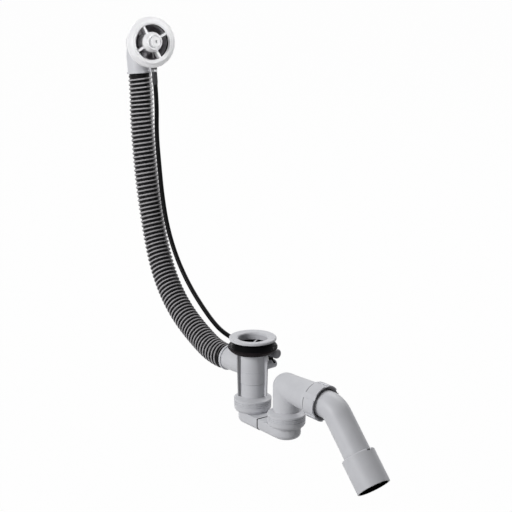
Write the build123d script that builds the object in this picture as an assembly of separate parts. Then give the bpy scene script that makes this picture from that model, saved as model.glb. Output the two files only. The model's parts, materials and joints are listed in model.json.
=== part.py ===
"""Pop-up bath waste and overflow: drain with ribbed body, swivelling flat trap with outlet bend,
corrugated overflow hose, overflow head with cable drive, and the Bowden cable between them.

Millimetres. The origin is on the drain axis at the bath's surface under the drain flange, +Z is up,
and the hose inlet points along -X."""
from build123d import *

import os
from math import asin, cos, pi, radians, sin, sqrt, tan

# Common fits, walls and edges
thread_clearance = 0.1
running_clearance = 0.08
slide_clearance = 0.3
swivel_gap = 0.4
rubber_gap = 0.05
wall = 2.4
edge_round = 0.8
fine_round = 0.5

# Drain flange and its three-armed guide for the lift pin
flange_r = 35.0
flange_t = 3.5
flange_edge = 1.4
flange_dish = 0.9
mouth_r = 22.0
mouth_step = 0.6
neck_wall = 1.9
neck_end_gap = 0.7
guide_depth = 7.0
guide_arm_count = 3
guide_arm_angle = 119.0
guide_arm_t = 2.6
guide_arm_h = 5.0
guide_hub_r = 5.4

# Bath thickness left free, and the rubber profile seal under it
bath_gap = 3.6
seal_height = 15.0
seal_lip_r = 36.6
seal_lip_drop = 7.0
seal_lip_h = 2.2
seal_lip_round = 1.2
seal_top_inset = 5.2
seal_belly_inset = 2.8
seal_belly_rise = 2.4
seal_belly_round = 2.0
seal_foot_inset = 5.6
seal_cover_t = 3.0

# Drain body: head inside the seal, tube, spigot and ribs
head_wall = 2.0
head_floor_t = 2.4
head_lip_r = 28.6
head_lip_t = 3.0
collar_r = 21.2
collar_t = 2.6
tube_r = 20.7
tube_line_drop = 28.4
tube_line_w = 0.6
tube_line_depth = 0.4
tube_step_drop = 46.5
tube_step_groove = 1.1
tube_step_depth = 0.6
tube_height = 67.4
spigot_r = 20.0
rib_count = 3
rib_turn = 15.0
rib_t = 3.0
rib_foot_r = 24.2
rib_foot_gap = 1.0

# Hose inlet on the drain body
inlet_drop = 23.3
inlet_reach = 55.3
inlet_r = 17.2
inlet_rim_r = 19.0
inlet_rim_length = 3.6

# Lifting gear
shaft_x = 7.5
shaft_drop = 25.4
shaft_r = 2.6
boss_r = 6.4
boss_reach = 29.7
crank_length = 18.4
crank_swing = 50.0
crank_t = 4.6
crank_hub_r = 4.0
crank_end_r = 2.8
crank_arm_w = 3.6
crank_web_w = 6.0
crank_web_length = 9.0
crank_gap = 0.4
crank_slot_margin = 5.0
crank_cap_t = 2.6
fork_slot = 2.2
lever_t = 5.0
lever_r = 3.0
pin_r = 3.0
pin_sink = 2.0
wire_r = 0.8
wire_nose_r = 2.2
wire_nose_length = 3.2
wire_end_r = 7.3
wire_end_length = 17.7
wire_end_rear_round = 1.2
wire_end_front_round = 3.0
wire_stop_r = 2.2
wire_stop_length = 3.0
oring_wire_r = 1.1

# Cable holder on the drain body
holder_x = -20.0
holder_t = 6.0
holder_h = 14.0
gland_r = 4.2
gland_head_r = 5.4
gland_head_t = 2.5
gland_sleeve_length = 20.0

# Trap with its two union nuts
trap_length = 82.5
trap_turn = -6.5
nut_r = 28.0
nut_cone_drop = 4.5
nut_height = 22.5
nut_foot_chamfer = 3.0
nut_groove_depth = 1.0
nut_groove_width = 1.1
nut_groove_count = 3
nut_groove_pitch = 2.7
union_drop = 5.4
socket_wall = 2.2
spigot_reach = 13.5
spigot_end_gap = 0.8
union_seal_t = 2.7
union_seal_height = 7.0
cup_r = 21.4
cup_round = 8.0
roof_round = 2.0
trap_height = 19.2
trap_nut_gap = 0.5
seam_x = 39.0
seam_gap = 0.8
seam_step = 0.5
tongue_length = 9.0
tongue_wall = 1.4

# Riser elbow and its outlet arm
pipe_wall = 2.2
elbow_turn = 0.1
elbow_fall = 3.9
elbow_height = -50.5
elbow_ball_r = 20.1
arm_cone_start = 8.0
arm_cone_length = 47.0
arm_socket_depth = 33.0

# Outlet nut, seal, bend and reducer sleeve
outlet_face = 79.2
outlet_nut_r = 26.8
outlet_nut_length = 25.0
outlet_mouth_depth = 3.0
outlet_lip_t = 1.8
outlet_lip_gap = 1.6
outlet_seal_length = 4.0
grip_count = 6
grip_height = 1.5
grip_span = 44.0
grip_start = 6.0
grip_line_w = 0.9
grip_line_depth = 0.8
outlet_nut_taper = 1.0
bend_angle = 45.0
bend_r = 30.0
bend_roll = -2.8
bend_corner = 17.2
bend_run = 126.0
sleeve_r = 25.0
sleeve_length = 51.0
sleeve_depth = 30.0
sleeve_stop_t = 2.0
sleeve_grip_length = 9.0
sleeve_round = 1.6
sleeve_notch_turn = 267.0
sleeve_notch_w = 8.0
sleeve_notch_depth = 3.2
reducer_seal_t = 1.4
reducer_seal_sink = 1.0

# Overflow head: place of the hose end under it, the way it faces and its sizes
overflow_turn = -16.0
overflow_tilt = 9.0
hose_top = (-315.5, 52.6, 349.5)
elbow_reach = 50.0
elbow_drop = 47.0
ring_r = 39.4
ring_window_r = 27.0
ring_crown_w = 5.6
ring_lip_w = 1.8
ring_lip_drop = 2.0
ring_shoulder_w = 2.4
ring_shoulder_drop = 2.0
ring_edge_drop = 4.4
ring_edge_round = 1.6
ring_depth = 9.5
ring_neck_wall = 1.9
ring_neck_length = 14.0
wall_gap = 3.6
wall_seal_t = 4.0
wall_seal_w = 4.1
spoke_count = 4
spoke_t = 3.4
spoke_depth = 12.0
spoke_sink = 1.5
spoke_turn = 26.0
spoke_end_gap = 0.15
hub_r = 15.6
hub_front = 18.5
hub_front_r = 12.4
hub_step_drop = 4.5
hub_cone_length = 5.0
hub_length = 30.0
hub_wall = 2.4
hub_plate_t = 4.0
hub_recess = 2.0
hub_slot_r = 8.8
hub_slot_depth = 0.8
hub_slot_land = 13.0
spindle_r = 5.0
spindle_sleeve_wall = 2.4
drive_size = 14.0
drive_round = 3.8
drive_length = 5.5
drive_socket = 4.4
drive_socket_depth = 3.0
spindle_swing = 85.0
drum_t = 6.0
drum_rim = 2.0
drum_gap = 3.0
clip_t = 1.6
clip_rim = 2.6
clip_opening = 8.0
cup_depth = 22.0
cup_taper = 3.0
head_elbow_r = 19.0
head_elbow_bend_r = 22.0
head_rim_r = 20.2
head_rim_length = 3.2
head_collar_inset = 1.0

# Cable fittings at the overflow
lug_r = 4.6
lug_length = 13.0
cable_nut_t = 3.4
cable_nut_rim = 1.0
ferrule_r = 4.2
ferrule_length = 20.0
ferrule_taper = 5.0
wire_tail = 1.0

# Corrugated hose
hose_r = 18.1
hose_groove_depth = 3.2
hose_wall = 1.5
hose_pitch = 6.7
cuff_r = 13.0
cuff_length = 14.0
cuff_seal_t = 1.6
cuff_seal_start = 3.0
cuff_seal_length = 6.0
hose_first_run = 25.0
hose_last_run = 30.0
hose_route = [
    (-125.0, 7.0, -27.5), (-170.0, 13.3, -6.2), (-206.0, 19.5, 20.5), (-234.5, 25.5, 53.0),
    (-256.5, 32.0, 91.0), (-271.0, 35.3, 132.0), (-284.0, 38.0, 181.0), (-295.5, 41.9, 232.0),
    (-305.0, 46.2, 280.0),
]

# Bowden cable
cable_r = 3.5
cable_first_run = 30.0
cable_last_run = 24.0
cable_route = [
    (-274.0, 49.8, 262.0), (-265.5, 47.1, 214.0), (-255.5, 44.2, 163.0), (-240.5, 41.6, 115.0),
    (-217.5, 39.4, 73.0), (-187.5, 37.4, 37.0), (-153.5, 35.9, 7.5), (-120.0, 34.6, -15.5),
    (-92.5, 34.1, -25.0),
]
corner_share = 0.45

# Levels and sizes that follow from the values above
seal_foot = -bath_gap - seal_height
neck_r = mouth_r + neck_wall
neck_bore_r = neck_r + thread_clearance
neck_length = -seal_foot - head_floor_t - neck_end_gap
head_r = neck_bore_r + head_wall
head_top = -bath_gap - seal_cover_t
head_floor = seal_foot + head_floor_t
bore_r = spigot_r - wall
line_z = seal_foot - tube_line_drop
step_z = seal_foot - tube_step_drop
nut_top = seal_foot - tube_height
nut_foot = nut_top - nut_height
socket_top = nut_top - union_drop
spigot_foot = socket_top - spigot_reach
socket_floor = spigot_foot - spigot_end_gap
socket_r = spigot_r + union_seal_t + running_clearance
thread_r = socket_r + socket_wall
nut_bore_r = thread_r + thread_clearance
trap_roof = nut_foot - trap_nut_gap
trap_floor = trap_roof - trap_height
inlet_z = seal_foot - inlet_drop
shaft_z = seal_foot - shaft_drop
crank_y = boss_reach + crank_gap
wire_y = crank_y + crank_t / 2
cap_y = crank_y + crank_t + rubber_gap
boss_end = cap_y - slide_clearance
crank_cup_r = crank_hub_r + crank_gap
half_swing = radians(crank_swing / 2)
crank_slot_half = half_swing + asin(crank_web_w / 2 / crank_cup_r) + radians(crank_slot_margin)
wire_travel = 2 * crank_length * sin(half_swing)
wire_z = shaft_z + crank_length * (1 + cos(half_swing)) / 2
lever_length = shaft_x / cos(half_swing)
lever_tip_z = shaft_z - lever_length * sin(half_swing)
pin_foot = lever_tip_z + (lever_r + pin_r + slide_clearance) / cos(half_swing) - pin_r
pin_top = -guide_depth - pin_sink
crank_tip_x = shaft_x - crank_length * sin(half_swing)
wire_end_x = crank_tip_x + crank_end_r + slide_clearance
wire_stop_x = crank_tip_x - crank_end_r - slide_clearance
wire_tail_x = holder_x - gland_sleeve_length + wire_stop_length
wire_bore_r = wire_r + slide_clearance
arm_bore_r = spigot_r + running_clearance
outlet_core_r = outlet_nut_r - grip_height
arm_thread_r = outlet_core_r - wall
outlet_throat = outlet_face - outlet_mouth_depth
outlet_lip = outlet_throat - outlet_lip_t
arm_length = outlet_lip - outlet_seal_length - 2 * rubber_gap
arm_socket = arm_length - arm_socket_depth
drum_r = wire_travel / radians(spindle_swing)
hub_rear = hub_front - hub_length
drum_z = hub_rear - drum_gap - drum_t / 2
ring_neck_r = ring_window_r + ring_neck_wall
collar_bore_r = ring_neck_r + thread_clearance
head_cup_r = collar_bore_r + wall
wall_seal_r = head_cup_r + wall_seal_w
head_collar_r = wall_seal_r - head_collar_inset
head_cup_top = -wall_gap - wall_seal_t
head_cup_back = head_cup_top - cup_depth
lug_top = -sqrt(head_cup_r ** 2 - drum_r ** 2)
lug_foot = lug_top - lug_length
groove_r = hose_r - hose_groove_depth
cuff_inner_r = cuff_r - hose_wall
cuff_bore_r = cuff_r + cuff_seal_t


def turned(*corners):
    """Solid of revolution about Z. A corner is (radius, height) or (radius, height, rounding)."""
    outline = make_face(Polyline(*[(c[0], 0, c[1]) for c in corners], close=True))
    for corner in corners:
        if len(corner) == 3:
            place = Vector(corner[0], 0, corner[1])
            outline = fillet(outline.vertices().sort_by_distance(place)[0], corner[2])
    return revolve(outline, Axis.Z)


def tube(outer, inner, low, high):
    return turned((inner, low), (outer, low), (outer, high), (inner, high))


def rod(radius, start, end):
    """Round bar between two points."""
    line = Line(start, end)
    return extrude(Plane(line @ 0, z_dir=line % 0) * Circle(radius), line.length)


def swept(radius, path):
    return sweep(Plane(path @ 0, z_dir=path % 0) * Circle(radius), path)


def smooth_path(points):
    """Straight runs joined by arcs as large as the runs allow."""
    spots = [Vector(*p) for p in points]
    radii = []
    for before, corner, after in zip(spots, spots[1:], spots[2:]):
        turn = radians((corner - before).get_angle(after - corner))
        short_run = min((corner - before).length, (after - corner).length)
        radii.append(corner_share * short_run / tan(turn / 2))
    print("bend radii", [round(r) for r in radii])
    return FilletPolyline(*spots, radius=radii)


# Drain
def drain_flange():
    top = flange_t - flange_dish
    throat = mouth_r - mouth_step
    body = turned(
        (throat, -neck_length), (neck_r, -neck_length), (neck_r, 0), (flange_r, 0),
        (flange_r, flange_t - flange_edge, edge_round), (flange_r - flange_edge, flange_t, edge_round),
        (mouth_r + flange_edge, top, edge_round), (mouth_r, top - flange_edge, edge_round),
        (mouth_r, -guide_depth), (throat, -guide_depth))
    arm = Pos(mouth_r / 2, 0, -guide_depth - guide_arm_h / 2) * Box(
        mouth_r + neck_wall / 2, guide_arm_t, guide_arm_h)
    for i in range(guide_arm_count):
        body += Rot(0, 0, guide_arm_angle + i * 360 / guide_arm_count) * arm
    body += tube(guide_hub_r, 0, -neck_length, -guide_depth)
    return body - tube(pin_r + running_clearance, 0, -neck_length, flange_t)


def drain_seal():
    """Profile ring: cone under the bath, wide lip, and a groove around the head's lip."""
    top = -bath_gap
    lip = top - seal_lip_drop
    mouth = neck_r + slide_clearance
    return turned(
        (mouth, top), (seal_lip_r - seal_top_inset, top, fine_round), (seal_lip_r, lip, seal_lip_round),
        (seal_lip_r, lip - seal_lip_h, seal_lip_round),
        (seal_lip_r - seal_belly_inset, seal_foot + seal_belly_rise, seal_belly_round),
        (seal_lip_r - seal_foot_inset, seal_foot, edge_round), (head_r + rubber_gap, seal_foot),
        (head_r + rubber_gap, head_top - head_lip_t - rubber_gap),
        (head_lip_r + rubber_gap, head_top - head_lip_t - rubber_gap),
        (head_lip_r + rubber_gap, head_top + rubber_gap), (mouth, head_top + rubber_gap))


def rib():
    foot = nut_top + rib_foot_gap
    root = bore_r + wall / 2
    outline = Polyline((root, 0, seal_foot), (head_r, 0, seal_foot), (rib_foot_r, 0, foot),
                       (root, 0, foot), close=True)
    return extrude(make_face(outline), rib_t / 2, dir=(0, 1, 0), both=True)


def crank_slot():
    """Wedge over the shaft that leaves the crank free to swing out of its cup."""
    top = boss_r + edge_round
    reach = top * tan(crank_slot_half)
    outline = make_face(Polyline((0, 0, 0), (reach, 0, top), (-reach, 0, top), close=True))
    return Pos(shaft_x, boss_reach, shaft_z) * extrude(outline, boss_end - boss_reach, dir=(0, 1, 0))


def drain_body():
    lip_foot = head_top - head_lip_t
    shell = turned(
        (0, spigot_foot), (spigot_r, spigot_foot, edge_round), (spigot_r, step_z - tube_step_groove),
        (spigot_r - tube_step_depth, step_z - tube_step_groove), (spigot_r - tube_step_depth, step_z),
        (tube_r, step_z), (tube_r, line_z - tube_line_w), (tube_r - tube_line_depth, line_z - tube_line_w),
        (tube_r - tube_line_depth, line_z), (tube_r, line_z), (tube_r, seal_foot - collar_t),
        (collar_r, seal_foot - collar_t, fine_round / 2), (collar_r, seal_foot), (head_r, seal_foot),
        (head_r, lip_foot), (head_lip_r, lip_foot, fine_round), (head_lip_r, head_top, fine_round),
        (0, head_top))
    for i in range(rib_count):
        shell += Rot(0, 0, rib_turn + i * 360 / rib_count) * rib()
    inlet_plane = Plane((0, 0, inlet_z), x_dir=(0, 1, 0), z_dir=(-1, 0, 0))
    shell += inlet_plane * tube(inlet_r, 0, 0, inlet_reach)
    shell += inlet_plane * turned(
        (0, inlet_reach - inlet_rim_length), (inlet_rim_r, inlet_reach - inlet_rim_length, fine_round),
        (inlet_rim_r, inlet_reach, edge_round), (0, inlet_reach))
    shell += rod(boss_r, (shaft_x, 0, shaft_z), (shaft_x, boss_end, shaft_z))
    shell -= rod(crank_cup_r, (shaft_x, boss_reach, shaft_z), (shaft_x, boss_end, shaft_z)) + crank_slot()
    holder_reach = wire_y + gland_head_r
    shell += Pos(holder_x + holder_t / 2, holder_reach / 2, wire_z) * Box(holder_t, holder_reach, holder_h)
    # Bores: threaded head, waterway, hose socket, shaft, seal groove and cable gland
    shell -= tube(neck_bore_r, 0, head_floor, head_top)
    shell -= tube(bore_r, 0, spigot_foot, head_floor)
    shell -= inlet_plane * tube(cuff_inner_r, 0, 0, inlet_reach)
    shell -= inlet_plane * tube(cuff_bore_r, 0, inlet_reach - cuff_length - neck_end_gap, inlet_reach)
    shell -= rod(shaft_r + running_clearance, (shaft_x, 0, shaft_z), (shaft_x, boss_reach, shaft_z))
    groove = boss_reach - 2 * oring_wire_r
    shell -= rod(shaft_r + 2 * oring_wire_r, (shaft_x, groove, shaft_z), (shaft_x, boss_reach, shaft_z))
    gland_hole = gland_r + rubber_gap
    shell -= rod(gland_hole, (holder_x, wire_y, wire_z), (holder_x + holder_t, wire_y, wire_z))
    return shell


def shaft_oring():
    ring = tube(shaft_r + 2 * oring_wire_r, shaft_r + running_clearance, 0, 2 * oring_wire_r)
    face = Plane((shaft_x, boss_reach - 2 * oring_wire_r, shaft_z), x_dir=(1, 0, 0), z_dir=(0, 1, 0))
    return face * ring


def lift_pin():
    """Pin with a round foot that stands on the inner lever."""
    ball = pin_foot + pin_r
    stem = turned((0, ball), (pin_r, ball), (pin_r, pin_top, edge_round), (0, pin_top))
    return stem + Pos(0, 0, ball) * Sphere(pin_r)


# Lifting gear: shaft with inner lever, outer crank, wire with its stop and its end knob
def lift_lever():
    shaft = rod(shaft_r, (shaft_x, -lever_t / 2, shaft_z), (shaft_x, cap_y + crank_cap_t, shaft_z))
    arm = extrude(Plane.XZ * SlotCenterToCenter(lever_length, 2 * lever_r), lever_t / 2, both=True)
    arm = Pos(-lever_length / 2, 0, 0) * arm
    return shaft + Pos(shaft_x, 0, shaft_z) * Rot(0, -crank_swing / 2, 0) * arm


def crank():
    level = crank_y + crank_t / 2
    hub = rod(crank_hub_r, (0, crank_y, 0), (0, crank_y + crank_t, 0))
    arm = Pos(0, level, crank_length / 2) * Box(crank_arm_w, crank_t, crank_length)
    arm += Pos(0, level, crank_web_length / 2) * Box(crank_web_w, crank_t, crank_web_length)
    tip = rod(crank_end_r, (0, crank_y, crank_length), (0, crank_y + crank_t, crank_length))
    slot = Box(3 * crank_end_r, fork_slot, crank_length + crank_end_r - crank_hub_r,
               align=(Align.CENTER, Align.CENTER, Align.MAX))
    body = hub + arm + tip - Pos(0, level, crank_length + crank_end_r) * slot
    body -= rod(shaft_r + thread_clearance / 2, (0, crank_y, 0), (0, crank_y + crank_t, 0))
    return Pos(shaft_x, 0, shaft_z) * Rot(0, -crank_swing / 2, 0) * body


def crank_cap():
    """Cap on the shaft's end that keeps the crank in place."""
    bore = shaft_r + thread_clearance / 2
    dome_round = crank_cap_t - 2 * fine_round
    cap = turned((bore, 0), (boss_r, 0, fine_round), (boss_r, crank_cap_t, dome_round), (bore, crank_cap_t))
    return Plane((shaft_x, cap_y, shaft_z), x_dir=(1, 0, 0), z_dir=(0, 1, 0)) * cap


def along_wire(solid, x):
    return Plane((x, wire_y, wire_z), x_dir=(0, 1, 0), z_dir=(1, 0, 0)) * solid


def pull_wire():
    core = tube(wire_r, 0, wire_tail_x, wire_end_x + wire_end_length / 2)
    rear = wire_stop_x - wire_stop_length
    stop = turned((0, rear), (wire_stop_r, rear, fine_round), (wire_stop_r, wire_stop_x), (0, wire_stop_x))
    return along_wire(core + stop, 0)


def wire_end():
    end = turned(
        (0, 0), (wire_nose_r, 0), (wire_nose_r, wire_nose_length),
        (wire_end_r, wire_nose_length, wire_end_rear_round),
        (wire_end_r, wire_end_length, wire_end_front_round), (0, wire_end_length))
    return along_wire(end - tube(wire_r, 0, 0, wire_end_length / 2), wire_end_x)


def cable_gland():
    body = tube(gland_r, wire_bore_r, -gland_sleeve_length, holder_t)
    body += tube(gland_head_r, wire_bore_r, holder_t, holder_t + gland_head_t)
    body += tube(gland_head_r, wire_bore_r, -gland_head_t, 0)
    return along_wire(body, holder_x)


# Trap: two halves joined by a tongue, with a union at each end
def union_nut():
    """Nut of both trap unions, with a cone on top and three ridges on its side."""
    mouth = spigot_r + swivel_gap
    shoulder = nut_top - nut_cone_drop
    body = turned(
        (mouth, nut_top), (nut_r, shoulder, edge_round),
        (nut_r - fine_round, nut_foot + nut_foot_chamfer, edge_round), (nut_bore_r + edge_round, nut_foot),
        (nut_bore_r, nut_foot), (nut_bore_r, socket_top + swivel_gap), (mouth, socket_top + swivel_gap))
    for i in range(nut_groove_count):
        level = shoulder - (i + 1) * nut_groove_pitch
        body -= tube(nut_r + wall, nut_r - nut_groove_depth, level - nut_groove_width, level)
    return body


def union_seal():
    top = socket_top - edge_round
    return tube(socket_r, spigot_r + running_clearance, top - union_seal_height, top)


def trap_hull(shrink):
    """Flat trap's outline as a solid, pulled in on every side by shrink."""
    low = trap_floor + shrink
    height = trap_roof - trap_floor - 2 * shrink
    block = extrude(SlotCenterToCenter(trap_length, 2 * (cup_r - shrink)), height)
    block = Pos(trap_length / 2, 0, low) * block
    low_round = min(cup_round - shrink, height / 2)
    block = fillet(block.faces().sort_by(Axis.Z)[0].edges(), low_round)
    return fillet(block.faces().sort_by(Axis.Z)[-1].edges(), roof_round / 2)


def trap_span(start, end):
    """Everything between two distances from the drain axis along the trap."""
    size = 4 * trap_length
    block = Box(end - start, size, size, align=(Align.MIN, Align.CENTER, Align.CENTER))
    return Pos(start, 0, trap_floor) * block


def socket_neck():
    """Threaded neck on the trap's roof for a union."""
    root = cup_r - edge_round
    return turned(
        (0, trap_roof - roof_round), (root, trap_roof - roof_round), (root, trap_roof),
        (thread_r, trap_roof + thread_r - root), (thread_r, socket_top), (0, socket_top))


def socket_hollow():
    inside = tube(cup_r - wall, 0, trap_floor + trap_height / 2, socket_floor)
    return inside + tube(socket_r, 0, socket_floor, socket_top)


def trap_inlet_half():
    shell = (trap_hull(0) & trap_span(-trap_length, seam_x)) + socket_neck()
    shell -= trap_hull(wall) & trap_span(-trap_length, seam_x)
    return Rot(0, 0, trap_turn) * (shell - socket_hollow())


def trap_riser_half():
    riser = Pos(trap_length, 0, 0)
    tongue = wall + thread_clearance
    shell = trap_hull(seam_step) & trap_span(seam_x + seam_gap, 2 * trap_length)
    shell += riser * socket_neck()
    shell += trap_hull(tongue) & trap_span(seam_x - tongue_length, seam_x + wall)
    shell -= trap_hull(tongue + tongue_wall) & trap_span(seam_x - tongue_length, 2 * trap_length)
    return Rot(0, 0, trap_turn) * (shell - riser * socket_hollow())


riser_place = Rot(0, 0, trap_turn) * Pos(trap_length, 0, 0)
riser_axis = (riser_place * Vertex(0, 0, 0)).center()

# Outlet: elbow on the riser, nut, bend and reducer sleeve
elbow_heading = Vector(cos(radians(elbow_turn)), sin(radians(elbow_turn)), 0)
arm_axis = elbow_heading * cos(radians(elbow_fall)) - Vector(0, 0, sin(radians(elbow_fall)))
elbow_corner = Vector(riser_axis.X, riser_axis.Y, elbow_height)
arm_side = arm_axis.cross(Vector(0, 0, 1)).normalized()
arm_plane = Plane(elbow_corner, x_dir=arm_side, z_dir=arm_axis)


def riser_elbow():
    foot = Pos(riser_axis.X, riser_axis.Y, 0)
    corner = Pos(riser_axis.X, riser_axis.Y, elbow_height)
    body = foot * tube(spigot_r, 0, spigot_foot, elbow_height) + corner * Sphere(elbow_ball_r)
    body += arm_plane * turned(
        (0, 0), (elbow_ball_r, 0), (elbow_ball_r, arm_cone_start),
        (arm_thread_r, arm_cone_start + arm_cone_length), (arm_thread_r, arm_length), (0, arm_length))
    inner_r = spigot_r - pipe_wall
    body -= foot * tube(inner_r, 0, spigot_foot, elbow_height) + corner * Sphere(inner_r)
    body -= arm_plane * tube(inner_r, 0, 0, arm_length)
    return body - arm_plane * tube(arm_bore_r, 0, arm_socket, arm_length)


def outlet_nut():
    rear = outlet_face - outlet_nut_length
    bore = arm_thread_r + thread_clearance
    lip_r = spigot_r + outlet_lip_gap
    body = turned(
        (bore, rear), (outlet_core_r - outlet_nut_taper, rear, fine_round), (outlet_core_r, rear + wall),
        (outlet_core_r, outlet_face, fine_round), (outlet_core_r - edge_round, outlet_face),
        (lip_r, outlet_throat), (lip_r, outlet_lip), (bore, outlet_lip))
    reach = 2 * outlet_nut_r
    half_width = reach * tan(radians(grip_span / 2))
    sector = make_face(Polyline((0, 0), (reach, -half_width), (reach, half_width), close=True))
    wedge = extrude(sector, outlet_face)
    grip_rear = rear + grip_start
    grip = tube(outlet_nut_r, outlet_core_r - fine_round, grip_rear, outlet_face) & wedge
    line = tube(outlet_nut_r, outlet_core_r - grip_line_depth, grip_rear - grip_line_w, grip_rear) & wedge
    for i in range(grip_count):
        turn = Rot(0, 0, i * 360 / grip_count)
        body = body + turn * grip - turn * line
    return arm_plane * body


def outlet_seal():
    low = arm_length + rubber_gap
    return arm_plane * tube(arm_thread_r - fine_round, arm_bore_r, low, low + outlet_seal_length)


bend_axis = arm_axis.rotate(Axis((0, 0, 0), arm_side), -bend_angle)
bend_axis = bend_axis.rotate(Axis((0, 0, 0), arm_axis), bend_roll)
bend_point = elbow_corner + arm_axis * (outlet_face + bend_corner)
bend_end = bend_point + bend_axis * bend_run
sleeve_plane = Plane(bend_end, x_dir=arm_side, z_dir=bend_axis)
sleeve_seat = -sleeve_depth - sleeve_stop_t
sleeve_grip_end = sleeve_seat - sleeve_grip_length


def outlet_bend():
    start = elbow_corner + arm_axis * (arm_socket + wall)
    path = FilletPolyline(start, bend_point, bend_end + bend_axis * sleeve_seat, radius=bend_r)
    return swept(spigot_r, path) - swept(spigot_r - pipe_wall, path)


def reducer_sleeve():
    mouth = spigot_r + reducer_seal_t + rubber_gap
    body = turned(
        (mouth, -sleeve_length), (sleeve_r, -sleeve_length, sleeve_round), (sleeve_r, 0, fine_round),
        (sleeve_r - wall, 0, fine_round), (sleeve_r - wall, sleeve_seat + sleeve_stop_t),
        (spigot_r - pipe_wall, sleeve_seat + sleeve_stop_t), (spigot_r - pipe_wall, sleeve_seat),
        (arm_bore_r, sleeve_seat), (arm_bore_r, sleeve_grip_end), (mouth, sleeve_grip_end))
    notch = Box(2 * (sleeve_r - spigot_r), sleeve_notch_w, 2 * sleeve_notch_depth)
    return sleeve_plane * (body - Rot(0, 0, sleeve_notch_turn) * Pos(sleeve_r, 0, -sleeve_length) * notch)


def reducer_seal():
    return sleeve_plane * tube(
        spigot_r + reducer_seal_t, spigot_r + rubber_gap,
        reducer_seal_sink - sleeve_length, sleeve_grip_end - rubber_gap)


# Overflow head, modelled about its own axis and then put in place
overflow_heading = radians(overflow_turn)
overflow_rise = radians(overflow_tilt)
overflow_axis = Vector(cos(overflow_rise) * cos(overflow_heading),
                       cos(overflow_rise) * sin(overflow_heading), sin(overflow_rise))
overflow_side = Vector(0, 0, 1).cross(overflow_axis).normalized()
overflow_up = overflow_axis.cross(overflow_side)
overflow_centre = Vector(*hose_top) + overflow_axis * elbow_reach + overflow_up * elbow_drop
overflow_plane = Plane(overflow_centre, x_dir=overflow_side, z_dir=overflow_axis)


def overflow_flange():
    """Ring at the bath wall, with its threaded neck."""
    crown = ring_window_r + ring_crown_w
    return overflow_plane * turned(
        (ring_window_r, -ring_neck_length), (ring_neck_r, -ring_neck_length), (ring_neck_r, 0), (ring_r, 0),
        (ring_r, ring_depth - ring_edge_drop, ring_edge_round),
        (crown + ring_shoulder_w, ring_depth - ring_shoulder_drop, edge_round),
        (crown, ring_depth, edge_round), (ring_window_r + ring_lip_w, ring_depth, edge_round),
        (ring_window_r, ring_depth - ring_lip_drop, fine_round))


def drive_carrier():
    """Hub of the cable drive, held in the ring by four spokes."""
    spoke_foot = ring_depth - spoke_sink - spoke_depth
    spoke_root = hub_r - hub_wall / 2
    spoke_reach = ring_window_r - spoke_end_gap - spoke_root
    spoke = Pos(spoke_root, 0, spoke_foot) * Box(
        spoke_reach, spoke_t, spoke_depth, align=(Align.MIN, Align.CENTER, Align.MIN))
    step = hub_front - hub_step_drop
    hub = turned(
        (0, hub_rear), (hub_r, hub_rear, edge_round), (hub_r, step - hub_cone_length, edge_round),
        (hub_front_r + fine_round, step, fine_round / 2), (hub_front_r, step),
        (hub_front_r, hub_front, edge_round), (0, hub_front))
    inside_r = hub_front_r - hub_wall
    hub -= tube(inside_r, 0, hub_front - hub_recess, hub_front)
    hub -= tube(inside_r, spindle_r + spindle_sleeve_wall, hub_rear, hub_front - hub_recess - hub_plate_t)
    slots = tube(inside_r, hub_slot_r, hub_front - hub_recess - hub_slot_depth, hub_front)
    hub -= slots - Box(4 * hub_r, hub_slot_land, 4 * hub_length)
    for i in range(spoke_count):
        hub += Rot(0, 0, spoke_turn + i * 360 / spoke_count) * spoke
    return overflow_plane * (hub - tube(spindle_r + running_clearance, 0, hub_rear, hub_front))


def overflow_seal():
    inner = ring_neck_r + slide_clearance
    return overflow_plane * turned(
        (inner, head_cup_top), (wall_seal_r, head_cup_top, edge_round), (wall_seal_r, -wall_gap, edge_round),
        (inner, -wall_gap))


def overflow_elbow():
    bend = min(head_elbow_bend_r, elbow_reach + head_cup_back + wall)
    path = FilletPolyline((0, 0, head_cup_back + 2 * wall), (0, 0, -elbow_reach),
                          (0, -elbow_drop, -elbow_reach), radius=bend)
    thread_floor = -ring_neck_length - neck_end_gap
    rim_t = head_rim_length
    body = turned(
        (0, head_cup_back), (head_cup_r - cup_taper, head_cup_back, 2 * wall), (head_cup_r, thread_floor),
        (head_cup_r, head_cup_top - rim_t), (head_collar_r, head_cup_top - rim_t, edge_round),
        (head_collar_r, head_cup_top, edge_round), (0, head_cup_top))
    body += swept(head_elbow_r, path)
    rim = Plane((0, -elbow_drop, -elbow_reach), x_dir=(1, 0, 0), z_dir=(0, -1, 0))
    body += rim * turned((0, -rim_t), (head_rim_r, -rim_t, fine_round), (head_rim_r, 0, edge_round), (0, 0))
    body += rod(lug_r, (drum_r, lug_top + 2 * wall, drum_z), (drum_r, lug_foot, drum_z))
    back = head_cup_back + wall
    shoulder = collar_bore_r - fine_round
    hollow = turned(
        (0, back), (head_cup_r - cup_taper - wall, back, wall), (shoulder, thread_floor - wall),
        (shoulder, thread_floor), (collar_bore_r, thread_floor), (collar_bore_r, head_cup_top),
        (0, head_cup_top))
    hollow += swept(cuff_inner_r, path)
    hollow += rim * tube(cuff_bore_r, 0, -cuff_length - neck_end_gap, 0)
    hollow += rod(wire_bore_r, (drum_r, 0, drum_z), (drum_r, lug_foot, drum_z))
    return overflow_plane * (body - hollow)


spindle_back = drum_z - drum_t / 2 - 2 * clip_t


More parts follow.
